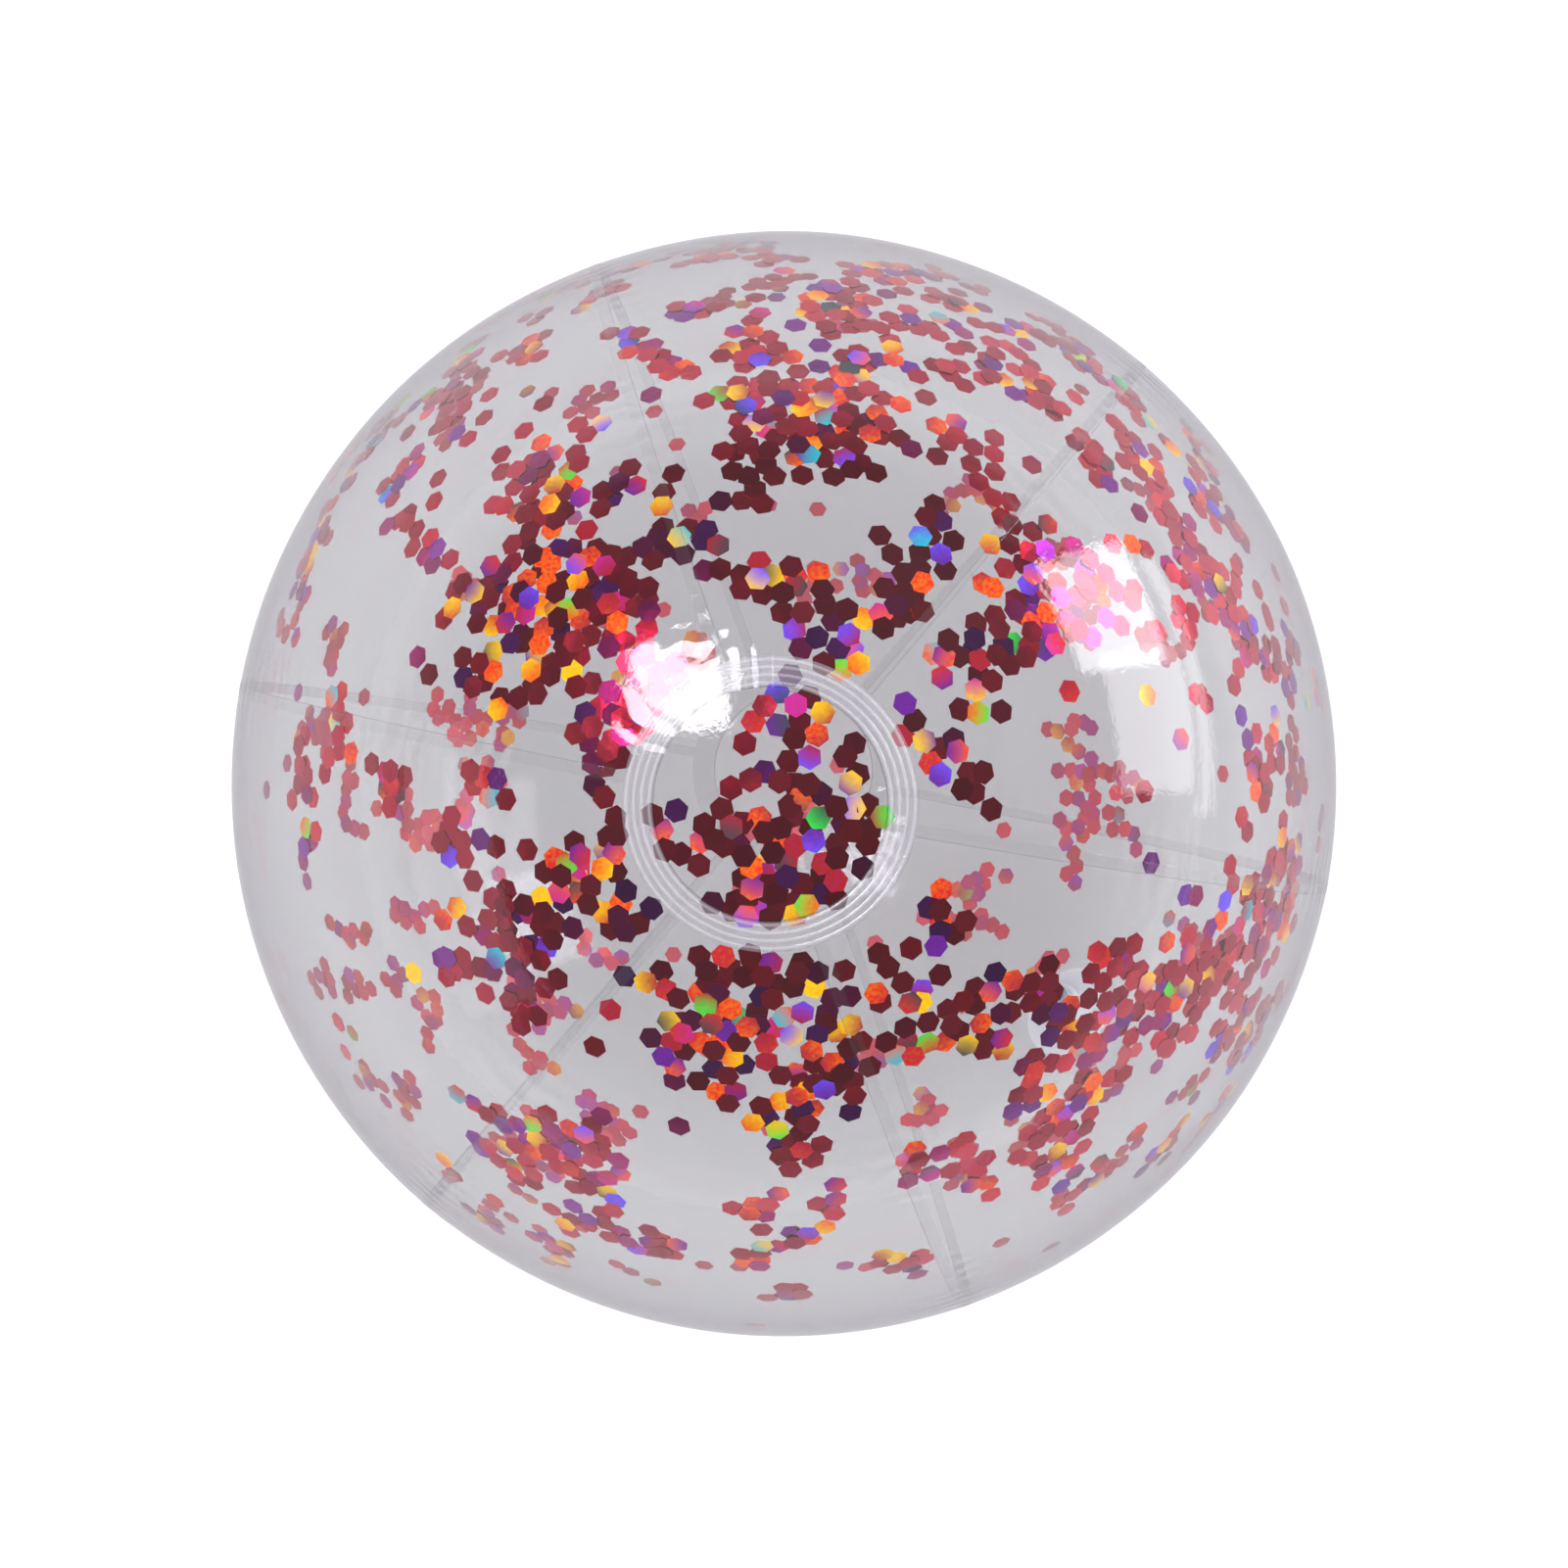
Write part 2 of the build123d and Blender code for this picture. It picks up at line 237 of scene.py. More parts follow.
def film_radius(azimuth, polar):
    """Distance of the gores' outer surface from the centre, with puckers and swells."""
    on_ball = direction(azimuth, polar) * BALL_R
    nearest = round(azimuth / GORE_TURN)
    beside = abs(azimuth - nearest * GORE_TURN) * BALL_R * math.sin(polar)
    along = BALL_R * polar
    wobble = smooth_noise(on_ball, 7 * MM, 3.1 + nearest)
    pucker = SEAM_PUCKER * math.exp(-beside / SEAM_REACH)
    pucker *= math.sin(math.tau * along / SEAM_WAVE + 4.0 * wobble)
    from_disc = BALL_R * (min(polar, math.pi - polar) - DISC_EDGE)
    ring = RING_PUCKER * math.exp(-max(from_disc, 0.0) / RING_REACH)
    ring *= math.sin(RING_WAVES * azimuth + 5.0 * smooth_noise(on_ball, 14 * MM, 8.3))
    swell = SWELL * smooth_noise(on_ball, SWELL_SIZE, 1.7)
    free = (on_ball - VALVE_OUT * BALL_R).length
    free = (free - OVER_FLANGE[0]) / (OVER_FLANGE[1] - OVER_FLANGE[0])
    free = min(max(free, 0.0), 1.0)
    free *= free * (3.0 - 2.0 * free)
    return BALL_R + free * (pucker + ring + swell - SLACK)


ACROSS = 64  # faces across a gore's width
ALONG = 320  # and along its length


def grid_faces(rows, columns, first, flipped):
    """Quads of a grid of points laid out in rows, as index lists."""
    faces = []
    for row in range(rows - 1):
        for column in range(columns - 1):
            a = first + row * columns + column
            quad = (a, a + 1, a + columns + 1, a + columns)
            faces.append(quad[::-1] if flipped else quad)
    return faces


def rim_faces(rows, columns, count):
    """Quads that join the edges of an outer grid to those of the inner grid below it."""
    loop = list(range(columns))
    loop += [row * columns + columns - 1 for row in range(1, rows)]
    loop += [(rows - 1) * columns + c for c in range(columns - 2, -1, -1)]
    loop += [row * columns for row in range(rows - 2, 0, -1)]
    pairs = zip(loop, loop[1:] + loop[:1])
    return [(b, a, a + count, b + count) for a, b in pairs]


def gore_mesh(number):
    """Points and faces of one gore: a closed shell one film thick."""
    start = (number - 1) * GORE_TURN
    outer, inner = [], []
    for row in range(ALONG + 1):
        polar = GORE_END + (math.pi - 2 * GORE_END) * row / ALONG
        for column in range(ACROSS + 1):
            azimuth = start + GORE_TURN * column / ACROSS
            radius = film_radius(azimuth, polar)
            out = direction(azimuth, polar)
            outer.append(out * radius)
            inner.append(out * (radius - FILM))
    rows, columns, count = ALONG + 1, ACROSS + 1, len(outer)
    faces = grid_faces(rows, columns, 0, True)
    faces += grid_faces(rows, columns, count, False)
    faces += rim_faces(rows, columns, count)
    return outer + inner, faces


# Across the lap: side from -1 to 1, height in film gauges. Its first rim is the weld line
LAP_PROFILE = [(-1.0, -0.1), (-0.86, 0.34), (-0.75, 0.22), (0.0, 0.2)]
LAP_PROFILE += [(0.75, 0.18), (0.86, 0.14), (1.0, -0.1)]
LAP_STRIPS = len(LAP_PROFILE) - 1
LAP_START = DISC_EDGE + 0.001


def lap_mesh(number):
    """Points and faces of the welded lap over the seam where a gore ends."""
    seam = number * GORE_TURN
    verts = []
    for row in range(ALONG + 1):
        polar = LAP_START + (math.pi - 2 * LAP_START) * row / ALONG
        for side, height in LAP_PROFILE:
            azimuth = seam + side * LAP_WIDTH / 2 / (BALL_R * math.sin(polar))
            radius = film_radius(azimuth, polar) + height * FILM
            verts.append(direction(azimuth, polar) * radius)
    columns = len(LAP_PROFILE)
    faces = grid_faces(ALONG + 1, columns, 0, True)
    for row in range(ALONG):
        a = row * columns
        faces.append((a, a + columns - 1, a + 2 * columns - 1, a + columns))
    faces.append(list(range(columns)))
    faces.append([ALONG * columns + c for c in range(columns - 1, -1, -1)])
    return verts, faces


def cut_valve_hole(piece):
    """Bore a round hole through the film about the valve's axis."""
    bm = bmesh.new()
    turn = VALVE_OUT.to_track_quat("Z", "Y").to_matrix().to_4x4()
    bmesh.ops.create_cone(
        bm,
        cap_ends=True,
        segments=128,
        radius1=HOLE_R,
        radius2=HOLE_R,
        depth=4 * HOLE_R,
        matrix=Matrix.Translation(VALVE_OUT * BALL_R) @ turn,
    )
    mesh = bpy.data.meshes.new("bore")
    bm.to_mesh(mesh)
    bm.free()
    bore = bpy.data.objects.new("bore", mesh)
    bpy.context.scene.collection.objects.link(bore)
    cut = piece.modifiers.new("hole", "BOOLEAN")
    cut.operation = "DIFFERENCE"
    cut.solver = "EXACT"
    cut.object = bore
    ready = piece.evaluated_get(bpy.context.evaluated_depsgraph_get())
    bored = bpy.data.meshes.new_from_object(ready)
    piece.modifiers.clear()
    piece.data = bored
    bpy.data.objects.remove(bore)


for number in range(1, GORES + 1):
    verts, faces = gore_mesh(number)
    gore = new_object(f"gore_{number}", verts, faces, clear_film)
    if number == VALVE_GORE:
        cut_valve_hole(gore)
    crisp(gore)
    gore.visible_shadow = False
    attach(gore, "ball")
    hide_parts(f"panel_{number}")
    verts, faces = lap_mesh(number)
    lap = new_object(f"seam_lap_{number}", verts, faces, lap_film)
    lap.data.materials.append(seam_line)
    for face in lap.data.polygons:
        on_rim = face.index % LAP_STRIPS == 0
        face.material_index = int(on_rim and face.index < ALONG * LAP_STRIPS)
    crisp(lap)
    lap.visible_shadow = False
    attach(lap, "ball")


# ------------------------------------------------------------------ end discs
RIDGES = 4
RIDGE_FIRST = math.radians(10.35)
RIDGE_STEP = math.radians(0.68)
RIDGE_HALF = math.radians(0.13)
RIDGE_HEIGHT = 0.26 * MM
BOTTOM_RIDGES = 0.12  # the bottom disc's ridges, as a share of the top's
RIDGE_SHOWS = 0.45  # share of a ridge's height above which it looks like a weld line
DISC_SAG = 0.10 * MM
DISC_SINK = 0.05 * MM  # of the disc's inner surface, into the gores
FINE_FROM = math.radians(9.95)  # the disc's mesh is fine from here out, for the ridges
COARSE_RINGS = 50
FINE_RINGS = 100
DISC_RINGS = COARSE_RINGS + FINE_RINGS
DISC_SPOKES = 288


def disc_height(polar):
    """Height of the disc's outer surface over its film, with the welding ridges."""
    height = 0.0
    for ridge in range(RIDGES):
        off = (polar - RIDGE_FIRST - ridge * RIDGE_STEP) / RIDGE_HALF
        height += RIDGE_HEIGHT * math.exp(-off * off)
    return height


def ring_polar(ring):
    """The polar angle of a ring of the disc's mesh, counted from the middle."""
    if ring <= COARSE_RINGS:
        return FINE_FROM * ring / COARSE_RINGS
    return FINE_FROM + (DISC_EDGE - FINE_FROM) * (ring - COARSE_RINGS) / FINE_RINGS


def disc_mesh(side):
    """Points and faces of an end disc, a closed shell. side is 1 on top, -1 below."""
    verts = []
    ridge_share = 1.0 if side > 0 else BOTTOM_RIDGES
    for layer in (1, 0):
        for ring in range(1, DISC_RINGS + 1):
            polar = ring_polar(ring)
            for spoke in range(DISC_SPOKES):
                azimuth = math.tau * spoke / DISC_SPOKES
                out = direction(azimuth, polar)
                sag = DISC_SAG * smooth_noise(out * BALL_R, 13 * MM, 5.9 + side)
                radius = BALL_R - DISC_SINK + sag
                radius += FILM + disc_height(polar) * ridge_share if layer else 0.0
                verts.append(Vector((out.x, out.y, side * out.z)) * radius)
        verts.append(Vector((0, 0, side * (BALL_R + (FILM if layer else 0.0)))))
    faces = []
    count = DISC_RINGS * DISC_SPOKES + 1
    for layer, first in enumerate((0, count)):
        turned = (layer == 0) == (side < 0)
        for ring in range(DISC_RINGS - 1):
            for spoke in range(DISC_SPOKES):
                a = first + ring * DISC_SPOKES + spoke
                b = first + ring * DISC_SPOKES + (spoke + 1) % DISC_SPOKES
                quad = (a, a + DISC_SPOKES, b + DISC_SPOKES, b)
                faces.append(quad[::-1] if turned else quad)
        for spoke in range(DISC_SPOKES):
            tip = (first + spoke, first + (spoke + 1) % DISC_SPOKES, first + count - 1)
            faces.append(tip[::-1] if not turned else tip)
    rim = (DISC_RINGS - 1) * DISC_SPOKES
    for spoke in range(DISC_SPOKES):
        a, b = rim + spoke, rim + (spoke + 1) % DISC_SPOKES
        quad = (a, a + count, b + count, b)
        faces.append(quad[::-1] if side < 0 else quad)
    return verts, faces


for side, name in ((1, "top_disc"), (-1, "bottom_disc")):
    verts, faces = disc_mesh(side)
    disc = new_object(f"{name}_film", verts, faces, disc_film)
    crisp(disc)
    disc.visible_shadow = False
    disc.data.materials.append(weld_band if side > 0 else lap_film)
    disc.data.materials.append(weld_line if side > 0 else lap_film)
    for face in disc.data.polygons:
        polar = math.acos(min(1.0, abs(face.center.normalized().z)))
        in_band = polar > RIDGE_FIRST - 2 * RIDGE_HALF
        on_ridge = disc_height(polar) > RIDGE_SHOWS * RIDGE_HEIGHT
        face.material_index = 2 if on_ridge else int(in_band)
    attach(disc, "ball")
    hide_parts(name)


# ------------------------------------------------------------------ confetti
FLAKE_FLATS = 5.0 * MM
FLAKE_R = FLAKE_FLATS / math.sqrt(3)
FLAKE_T = 0.08 * MM
FLAKE_DEPTH = 0.2 * MM  # of a flake on the wall, below the film's inner surface
LAYER_STEP = 0.2 * MM
FLAKES_PER_SEED = 6
SINGLES = 170
CHAINED = 0.25  # share of a drift's flakes that carry on from the last one laid
STEP = (0.66, 1.10)  # from one flake of a drift to the next, in flakes
CLOSEST = 0.45
CROWD_REACH, CROWD_MOST = 0.92, 3
FLAKE_TILT = 0.02
FLAKE_CURL = 0.06 * MM
VALVE_CLEARANCE = 19.0 * MM
# Where the confetti has gathered more thickly: azimuth, polar angle, reach (degrees), count
GATHERED = [(-134.6, 5.2, 5.5, 70), (-60.0, 7.0, 3.5, 16), (-152.0, 20.0, 6.0, 26)]
GATHERED += [(-24.6, 52.0, 16.0, 60), (32.0, 52.0, 14.0, 46), (14.5, 50.5, 9.0, 40)]
GATHERED += [(-71.0, 50.0, 13.0, 50), (80.7, 54.0, 9.0, 28), (84.0, 25.0, 5.0, 24)]
GATHERED += [(91.0, 30.0, 10.0, 64), (-123.0, 21.3, 7.0, 36), (35.2, 36.7, 8.0, 30)]
GATHERED += [(-13.6, 28.5, 8.0, 36), (156.0, 28.0, 8.0, 28)]
rng = random.Random(11)


def cad_flakes():
    """Directions of the centres of the flakes in the CAD model, in a fixed order."""
    centres = []
    for number in range(1, GORES + 1):
        bm = bmesh.new()
        bm.from_mesh(frame["nodes"][f"confetti_{number}"].data)
        bmesh.ops.remove_doubles(bm, verts=bm.verts, dist=0.001 * MM)
        left = set(bm.verts)
        while left:
            island, edge = [], [left.pop()]
            while edge:
                v = edge.pop()
                island.append(v)
                for e in v.link_edges:
                    other = e.other_vert(v)
                    if other in left:
                        left.discard(other)
                        edge.append(other)
            middle = sum((v.co for v in island), Vector()) / len(island)
            centres.append(middle.normalized())
        bm.free()
    return sorted(centres, key=lambda c: (round(c.z, 5), round(c.x, 5), round(c.y, 5)))


def stepped(start, turn, distance):
    """The direction reached by walking over the ball from another one."""
    level = Vector((0, 0, 1)).cross(start).normalized()
    heading = level * math.cos(turn) + start.cross(level) * math.sin(turn)
    angle = distance / BALL_R
    return start * math.cos(angle) + heading * math.sin(angle)


WELD_ZONE = (math.radians(10.0), math.radians(12.8))


def under_weld(centre):
    """Whether a direction lies under an end disc's weld, where few flakes cling."""
    polar = math.acos(min(1.0, abs(centre.z)))
    return WELD_ZONE[0] < polar < WELD_ZONE[1]


class Confetti:
    """All the flakes laid so far: their directions and the layer that each lies in."""

    def __init__(self, most):
        self.at = np.zeros((most, 3))
        self.layer = np.zeros(most, int)
        self.count = 0

    def gaps(self, centre):
        """Distances from a direction to every flake, on the ball's surface."""
        return np.linalg.norm(self.at[: self.count] - np.array(centre), axis=1) * BALL_R

    def lay(self, centre):
        """Lay a flake on the lowest layer that is free where it lies."""
        near = self.gaps(centre) < 2 * FLAKE_R
        taken = set(self.layer[: self.count][near])
        self.layer[self.count] = min(set(range(len(taken) + 1)) - taken)
        self.at[self.count] = centre
        self.count += 1

    def has_room(self, centre):
        """Whether a flake may lie here: off the welds and valve, and not on a crowd."""
        if under_weld(centre):
            return False
        if (centre - VALVE_OUT).length * BALL_R < VALVE_CLEARANCE:
            return False
        gaps = self.gaps(centre) / FLAKE_FLATS
        return gaps.min() > CLOSEST and (gaps < CROWD_REACH).sum() <= CROWD_MOST


def lay_confetti():
    """Grow a small branching drift round each CAD flake, then scatter single flakes."""
    seeds = cad_flakes()
    most = len(seeds) * (FLAKES_PER_SEED + 3) + sum(row[3] for row in GATHERED) + SINGLES
    made = Confetti(most)
    for seed in seeds:
        made.lay(seed)
    for seed in seeds:
        drift = [seed]
        wanted = FLAKES_PER_SEED + rng.randint(-2, 2)
        for _ in range(400):
            if len(drift) > wanted:
                break
            start = drift[-1] if rng.random() < CHAINED else rng.choice(drift)
            distance = FLAKE_FLATS * rng.uniform(*STEP)
            centre = stepped(start, rng.uniform(0, math.tau), distance)
            if made.has_room(centre):
                drift.append(centre)
                made.lay(centre)
    for azimuth, polar, reach, count in GATHERED:
        middle = direction(math.radians(azimuth), math.radians(polar))
        for _ in range(count):
            walk = abs(rng.gauss(0, 0.6)) * math.radians(reach) * BALL_R
            centre = stepped(middle, rng.uniform(0, math.tau), walk)
            apart = made.gaps(centre).min() > CLOSEST * FLAKE_FLATS
            if apart and not under_weld(centre):
                made.lay(centre)
    for _ in range(SINGLES):
        out = direction(rng.uniform(0, math.tau), math.acos(rng.uniform(-1, 1)))
        if made.has_room(out):
            made.lay(out)
    return made


# The foil's own reds, and painted glints, the colours that its hologram throws painted into
# some flakes: weight, linear colour
REDS = [
    (38, (0.64, 0.018, 0.062)),
    (26, (0.74, 0.040, 0.082)),
    (9, (0.52, 0.020, 0.210)),
    (6, (0.92, 0.024, 0.060)),
    (8, (0.34, 0.030, 0.400)),
]
PAINTED_GLINTS = [
    (9, (0.400, 0.012, 0.034)),
    (9, (0.900, 0.105, 0.004)),
    (5, (0.620, 0.024, 0.018)),
    (5, (1.000, 0.600, 0.004)),
    (5, (0.150, 0.014, 0.300)),
    (2.4, (0.160, 0.070, 0.850)),
    (1.8, (0.580, 0.020, 0.280)),
    (2, (0.050, 0.055, 0.070)),
    (1.2, (0.030, 0.780, 0.060)),
    (1.2, (0.015, 0.520, 0.620)),
]
PAINTED_GLINT_SHARE = 0.30
PAINTED_GLINT_METAL = 0.25
PAINTED_HAZE_TONE = Vector((0.46, 0.17, 0.19))  # painted haze: the pale tone that the inner side of every flake fades towards, for the haze of light over the far flakes
PAINTED_HAZE_SHARE = 0.6
PAINTED_HAZE_METAL = 0.3


def chosen(rows):
    """One colour from rows of weight and colour."""
    weights = [weight for weight, _ in rows]
    return Vector(rng.choices([colour for _, colour in rows], weights)[0])


def flake_material():
    """Metallised film with an embossed hologram: its colours shift in fine bands."""
    material, tree = new_material("confetti_foil")
    link = tree.links.new
    place = node(tree, "ShaderNodeTexCoord")
    tone = node(tree, "ShaderNodeVertexColor", layer_name="foil")
    bands = node(tree, "ShaderNodeTexNoise", Scale=1100.0, Detail=1.0)
    link(place.outputs["Object"], bands.inputs["Vector"])
    spread = node(tree, "ShaderNodeMapRange")
    spread.inputs["From Min"].default_value = 0.3
    spread.inputs["From Max"].default_value = 0.7
    spread.inputs["To Min"].default_value = 0.485
    spread.inputs["To Max"].default_value = 0.515
    link(bands.outputs["Fac"], spread.inputs["Value"])
    shift = node(tree, "ShaderNodeHueSaturation")
    link(spread.outputs["Result"], shift.inputs["Hue"])
    link(tone.outputs["Color"], shift.inputs["Color"])
    foil = node(tree, "ShaderNodeBsdfPrincipled", Roughness=0.19)
    foil.inputs["Specular IOR Level"].default_value = 0.12
    link(tone.outputs["Alpha"], foil.inputs["Metallic"])
    link(shift.outputs["Color"], foil.inputs["Base Color"])
    bump = node(tree, "ShaderNodeBump", Strength=0.4, Distance=0.03 * MM)
    link(bands.outputs["Fac"], bump.inputs["Height"])
    link(bump.outputs["Normal"], foil.inputs["Normal"])
    output = node(tree, "ShaderNodeOutputMaterial")
    link(foil.outputs[0], output.inputs["Surface"])
    return material


def flake_tones(out):
    """The colours at a flake's corners and middle, and how metallic it is: plain red, or
    a painted glint in a rainbow gradient. The painted glints come in patches."""
    painted_glint_patch = 1.0 + 1.3 * smooth_noise(out * BALL_R, 26 * MM, 4.4)
    if rng.random() > PAINTED_GLINT_SHARE * painted_glint_patch:
        shade = rng.uniform(0.72, 1.30)
        return [chosen(REDS) * shade] * 7, 1.0
    # A painted glint: rainbow colours painted into the flake for the light that its
    # hologram throws
    base, other = chosen(PAINTED_GLINTS), chosen(PAINTED_GLINTS)
    turn = rng.uniform(0, math.tau)
    tones = []
    for corner in range(6):
        mix = 0.5 + 0.5 * math.cos(corner * math.tau / 6 - turn)
        tones.append(base.lerp(other, mix))
    return tones + [base.lerp(other, 0.35)], PAINTED_GLINT_METAL


def flake_points(out, layer):
    """The twelve corners and two middles of one flake."""
    wall = film_radius(math.atan2(out.y, out.x) % math.tau, math.acos(out.z)) - FILM
    top = wall - FLAKE_DEPTH - layer * LAYER_STEP
    level = Vector((0, 0, 1)).cross(out).normalized()
    rise = out.cross(level)
    turn = rng.uniform(0, math.tau)
    tilt = Vector((rng.gauss(0, FLAKE_TILT), rng.gauss(0, FLAKE_TILT)))
    curl = rng.uniform(-FLAKE_CURL, FLAKE_CURL)
    points = []
    for face in (0, 1):
        for corner in range(6):
            a = turn + corner * math.tau / 6
            x, y = FLAKE_R * math.cos(a), FLAKE_R * math.sin(a)
            lift = top - face * FLAKE_T + x * tilt.x + y * tilt.y
            points.append(out * lift + level * x + rise * y)
        points.append(out * (top - face * FLAKE_T + curl))
    return points


def flake_faces(first):
    """Faces of one flake whose points start at an index."""
    faces = []
    for corner in range(6):
        after = (corner + 1) % 6
        a, b = first + corner, first + after
        faces.append((a, b, first + 6))
        faces.append((b + 7, a + 7, first + 13))
        faces.append((b, a, a + 7, b + 7))
    return faces


foil = flake_material()
confetti = lay_confetti()
groups = {number: ([], [], []) for number in range(1, GORES + 1)}
for index in range(confetti.count):
    out = Vector(confetti.at[index])
    number = int(math.atan2(out.y, out.x) % math.tau // GORE_TURN) + 1
    verts, faces, tones = groups[number]
    faces += flake_faces(len(verts))
    verts += flake_points(out, int(confetti.layer[index]))
    outside, metal = flake_tones(out)
    tones += [(*tone, metal) for tone in outside]
    # Each flake's inner side is its outer colours faded towards a painted haze
    tones += [(*tone.lerp(PAINTED_HAZE_TONE, PAINTED_HAZE_SHARE), PAINTED_HAZE_METAL) for tone in outside]
for number, (verts, faces, tones) in groups.items():
    flakes = new_object(f"flakes_{number}", verts, faces, foil, smooth=False)
    colour = flakes.data.color_attributes.new("foil", "FLOAT_COLOR", "POINT")
    colour.data.foreach_set("color", [channel for tone in tones for channel in tone])
    flakes.visible_shadow = False
    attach(flakes, "ball")
    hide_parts(f"confetti_{number}")


# ------------------------------------------------------------------ valve
def vinyl_material():
    """Soft translucent moulded vinyl."""
    material, tree = new_material("valve_vinyl")
    link = tree.links.new
    place = node(tree, "ShaderNodeTexCoord")
    grain = node(tree, "ShaderNodeTexNoise", Scale=1400.0, Detail=3.0)
    bump = node(tree, "ShaderNodeBump", Strength=0.5, Distance=0.03 * MM)
    link(place.outputs["Object"], grain.inputs["Vector"])
    link(grain.outputs["Fac"], bump.inputs["Height"])
    clear = node(tree, "ShaderNodeBsdfTransparent", Color=(0.93, 0.94, 0.96, 1))
    solid = node(tree, "ShaderNodeBsdfPrincipled", Roughness=0.28)
    solid.inputs["Base Color"].default_value = (0.80, 0.81, 0.85, 1)
    link(bump.outputs["Normal"], solid.inputs["Normal"])
    mix = node(tree, "ShaderNodeMixShader", Fac=0.38)
    link(clear.outputs[0], mix.inputs[1])
    link(solid.outputs[0], mix.inputs[2])
    output = node(tree, "ShaderNodeOutputMaterial")
    link(mix.outputs[0], output.inputs["Surface"])
    return material


vinyl = vinyl_material()
for name in ("valve_flange", "valve_stem", "valve_plug"):
    frame["nodes"][name].data.materials.clear()
    frame["nodes"][name].data.materials.append(vinyl)
for name in ("check_flap", "flap_anchor"):
    frame["nodes"][name].data.materials.clear()
    frame["nodes"][name].data.materials.append(clear_film)


def at_valve(side, level, across=0.0):
    """A point by its distance from the valve's axis, its level along it, and across."""
    return VALVE_SIDE * side + VALVE_OUT * level + VALVE_SIDE.cross(VALVE_OUT) * across


def rounded(points, radius, steps=8):
    """A polyline with its inner corners rounded off."""
    points = [Vector(point) for point in points]
    line = [points[0]]
    for before, corner, after in zip(points, points[1:], points[2:]):
        start = corner + (before - corner).normalized() * radius
        end = corner + (after - corner).normalized() * radius
        for step in range(steps + 1):
            t = step / steps
            line.append(start.lerp(corner, t).lerp(corner.lerp(end, t), t))
    return line + [points[-1]]


def offsets(line):
    """The sideways direction at every point of a flat polyline."""
    sides = []
    for index in range(len(line)):
        run = line[min(index + 1, len(line) - 1)] - line[max(index - 1, 0)]
        sides.append(Vector((-run.y, run.x)).normalized())
    return sides


WEB_T = 0.45 * MM
WEB_TOP = 149.25 * MM
WEB_FOOT = 142.5 * MM
WEB_RADII = (8.2 * MM, 6.4 * MM, 6.8 * MM, 5.05 * MM)  # two at the top, two at the foot
WEB_ROUND = 0.8 * MM
WEB_TURNS = 120


def valve_web():
    """The thin web from the flange down to the foot of the stem, revolved."""
    levels = (WEB_TOP, WEB_TOP, WEB_FOOT, WEB_FOOT)
    line = rounded(zip(WEB_RADII, levels), WEB_ROUND)
    sides = offsets(line)
    loop = [point + side * WEB_T / 2 for point, side in zip(line, sides)]
    loop += [point - side * WEB_T / 2 for point, side in zip(line, sides)][::-1]
    verts, faces = [], []
    across = VALVE_SIDE.cross(VALVE_OUT)
    for turn in range(WEB_TURNS):
        angle = math.tau * turn / WEB_TURNS
        out = VALVE_SIDE * math.cos(angle) + across * math.sin(angle)
        verts += [out * point.x + VALVE_OUT * point.y for point in loop]
    count = len(loop)
    for turn in range(WEB_TURNS):
        a, b = turn * count, (turn + 1) % WEB_TURNS * count
        for step in range(count):
            after = (step + 1) % count
            faces.append((a + step, a + after, b + after, b + step))
    return verts, faces


TETHER_T = 0.5 * MM
TETHER_WIDTH = 3.0 * MM
TETHER_FOOT = 150.4 * MM
TETHER_BEND = 0.8 * MM
HINGE_SIDE = 7.2 * MM
TETHER_START = 5.9 * MM  # sunk a little into the stem's lip
TETHER_END = 5.85 * MM  # clear of the plug's head, as in the CAD model
LOOP_STEPS = 12
# Across the strap: side from -1 to 1, share of its thickness
TETHER_PROFILE = [(-1.0, 0.45), (-0.95, 0.85), (-0.85, 1.0), (0.0, 0.92)]
TETHER_PROFILE += [(0.85, 1.0), (0.95, 0.85), (1.0, 0.45)]


def plug_tether():
    """The strap from the stem's lip to the plug, with the loop that is its hinge."""
    run = HINGE_SIDE - TETHER_START
    line = [Vector((TETHER_START + run * step / 4, TETHER_FOOT)) for step in range(4)]
    for step in range(LOOP_STEPS + 1):
        angle = math.pi * (step / LOOP_STEPS - 0.5)
        bend = Vector((math.cos(angle), math.sin(angle) + 1.0)) * TETHER_BEND
        line.append(Vector((HINGE_SIDE, TETHER_FOOT)) + bend)
    top = TETHER_FOOT + 2 * TETHER_BEND
    run = HINGE_SIDE - TETHER_END
    line += [Vector((HINGE_SIDE - run * step / 6, top)) for step in range(1, 7)]
    verts, faces = [], []
    for point, side in zip(line, offsets(line)):
        for sign, profile in ((1, TETHER_PROFILE), (-1, TETHER_PROFILE[::-1])):
            for place, share in profile:
                off = point + side * sign * share * TETHER_T / 2
                verts.append(at_valve(off.x, off.y, place * TETHER_WIDTH / 2))
    count = 2 * len(TETHER_PROFILE)
    for row in range(len(line) - 1):
        for step in range(count):
            a, b = row * count + step, row * count + (step + 1) % count
            faces.append((a, b, b + count, a + count))
    last = (len(line) - 1) * count
    faces += [list(range(count))[::-1], list(range(last, last + count))]
    return verts, faces


def outward(piece):
    """Turn every face of a closed mesh outwards."""
    bm = bmesh.new()
    bm.from_mesh(piece.data)
    bmesh.ops.recalc_face_normals(bm, faces=bm.faces)
    bm.to_mesh(piece.data)
    bm.free()


FLANGE_LINES = [10.2 * MM, 11.6 * MM, 13.0 * MM]  # their distances from the axis
LINE_HALF = 0.28 * MM
LINE_HEIGHT = 0.14 * MM
LINE_TURNS = 144
# Across a line: side from -1 to 1, share of its height
LINE_PROFILE = [(-1.0, -0.3), (-0.5, 0.75), (0.0, 1.0), (0.5, 0.75), (1.0, -0.3)]


